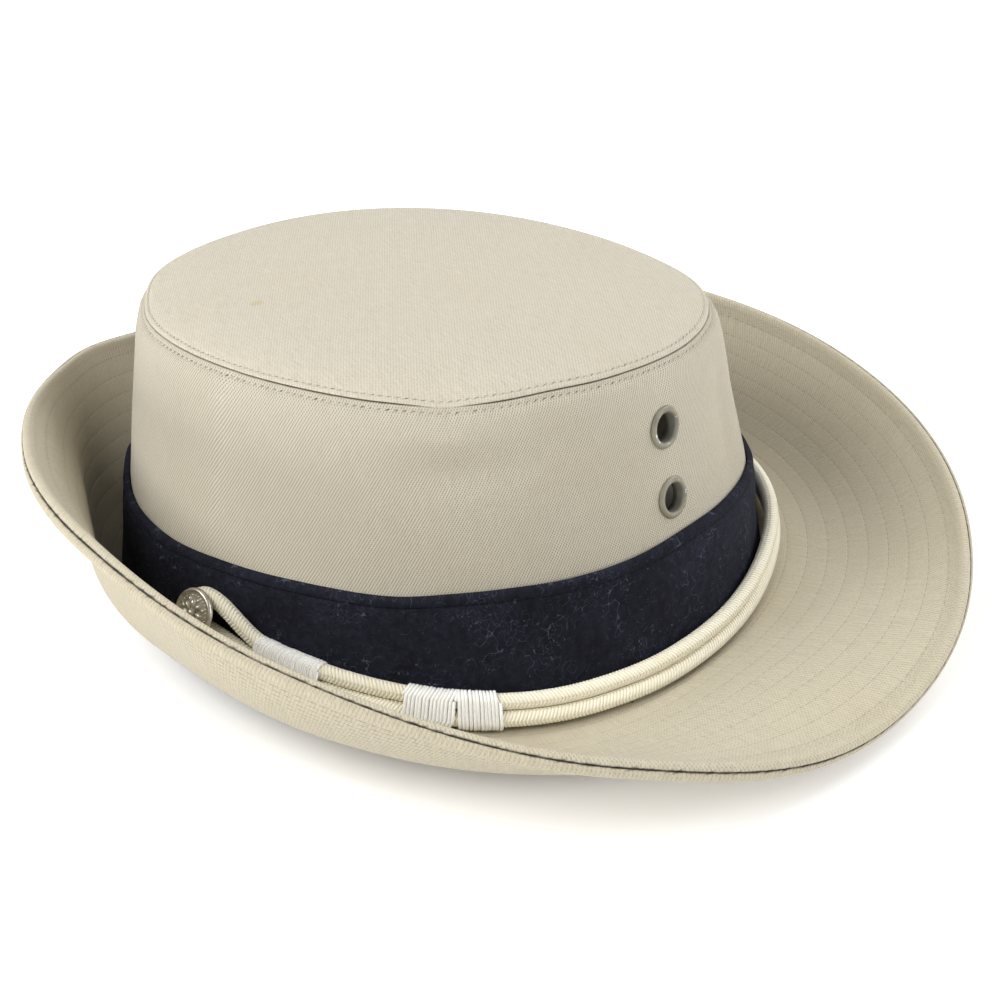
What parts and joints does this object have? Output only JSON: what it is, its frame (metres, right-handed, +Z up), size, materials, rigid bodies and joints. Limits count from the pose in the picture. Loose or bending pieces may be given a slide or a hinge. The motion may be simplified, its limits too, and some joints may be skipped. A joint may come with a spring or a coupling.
{
  "type": "police hat",
  "caption": "Khaki cotton slouch hat with a rolled-up brim, a navy wool band, a doubled cream cord looped over a button, and vent eyelets.",
  "frame": {"origin": "on the floor under the middle of the hat's box as seen from above, with the hat resting on its brim, crown up", "axes": "+Z up through the crown; -Y towards the end with the eyelets, +X towards the side where the brim is wide and low; the button is on the -X side"},
  "size_m": [0.2878, 0.3022, 0.0969],
  "materials": {
    "khaki_cotton": "matt cotton twill",
    "navy_wool": "felted wool",
    "cream_cord": "braided cord",
    "white_floss": "wound floss",
    "nickel_plate": "dulled nickel",
    "painted_metal": "worn khaki paint"
  },
  "bodies": {
    "root": {"brim_top": "khaki_cotton", "brim_under": "khaki_cotton", "button": "nickel_plate", "crown_side": "khaki_cotton", "crown_tip": "khaki_cotton", "eyelet_lower": "painted_metal", "eyelet_upper": "painted_metal", "hat_band": "navy_wool", "hat_cord": "cream_cord", "whipping_end": "white_floss", "whipping_left": "white_floss", "whipping_long": "white_floss", "whipping_right": "white_floss"}
  },
  "joints": []
}
